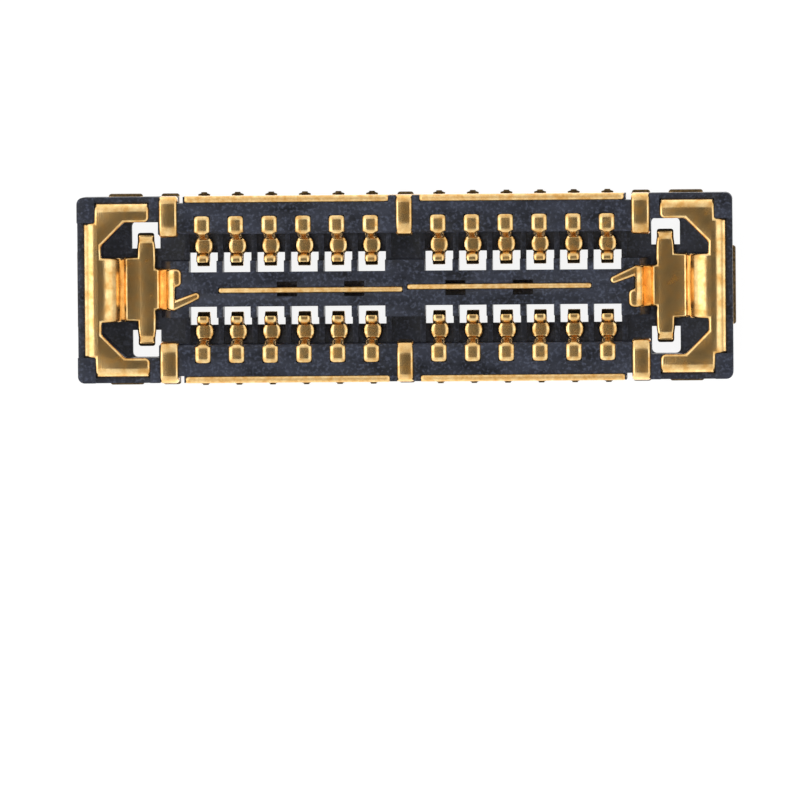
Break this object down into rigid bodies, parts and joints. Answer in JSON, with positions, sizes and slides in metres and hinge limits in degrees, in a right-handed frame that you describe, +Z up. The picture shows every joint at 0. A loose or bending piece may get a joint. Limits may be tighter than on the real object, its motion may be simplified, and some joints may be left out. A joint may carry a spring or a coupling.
{
  "type": "board to board connector",
  "caption": "Low-profile surface-mount board to board receptacle: moulded body with an island, rows of gold-plated spring contacts, stamped end plates, side shields and straps.",
  "frame": {"origin": "centre of the solder plane, under the middle of the part", "axes": "+X along the rows of contacts, +Y across them, +Z up out of the mating side"},
  "size_m": [0.0068, 0.002, 0.0006],
  "materials": {
    "moulded_plastic": "fine moulded matte",
    "contact_metal": "gold plating on copper alloy",
    "plate_metal": "gold plating on copper alloy"
  },
  "bodies": {
    "root": {"housing": "moulded_plastic", "end_plate_left": "plate_metal", "end_plate_right": "plate_metal", "side_shield_a": "plate_metal", "side_shield_b": "plate_metal", "end_strap_a_left": "plate_metal", "end_strap_a_right": "plate_metal", "end_strap_b_left": "plate_metal", "end_strap_b_right": "plate_metal", "centre_plate_left": "plate_metal", "centre_plate_right": "plate_metal", "contact_a1": "contact_metal", "contact_a2": "contact_metal", "contact_a3": "contact_metal", "contact_a4": "contact_metal", "contact_a5": "contact_metal", "contact_a6": "contact_metal", "contact_a7": "contact_metal", "contact_a8": "contact_metal", "contact_a9": "contact_metal", "contact_a10": "contact_metal", "contact_a11": "contact_metal", "contact_a12": "contact_metal", "contact_b1": "contact_metal", "contact_b2": "contact_metal", "contact_b3": "contact_metal", "contact_b4": "contact_metal", "contact_b5": "contact_metal", "contact_b6": "contact_metal", "contact_b7": "contact_metal", "contact_b8": "contact_metal", "contact_b9": "contact_metal", "contact_b10": "contact_metal", "contact_b11": "contact_metal", "contact_b12": "contact_metal"}
  },
  "joints": []
}
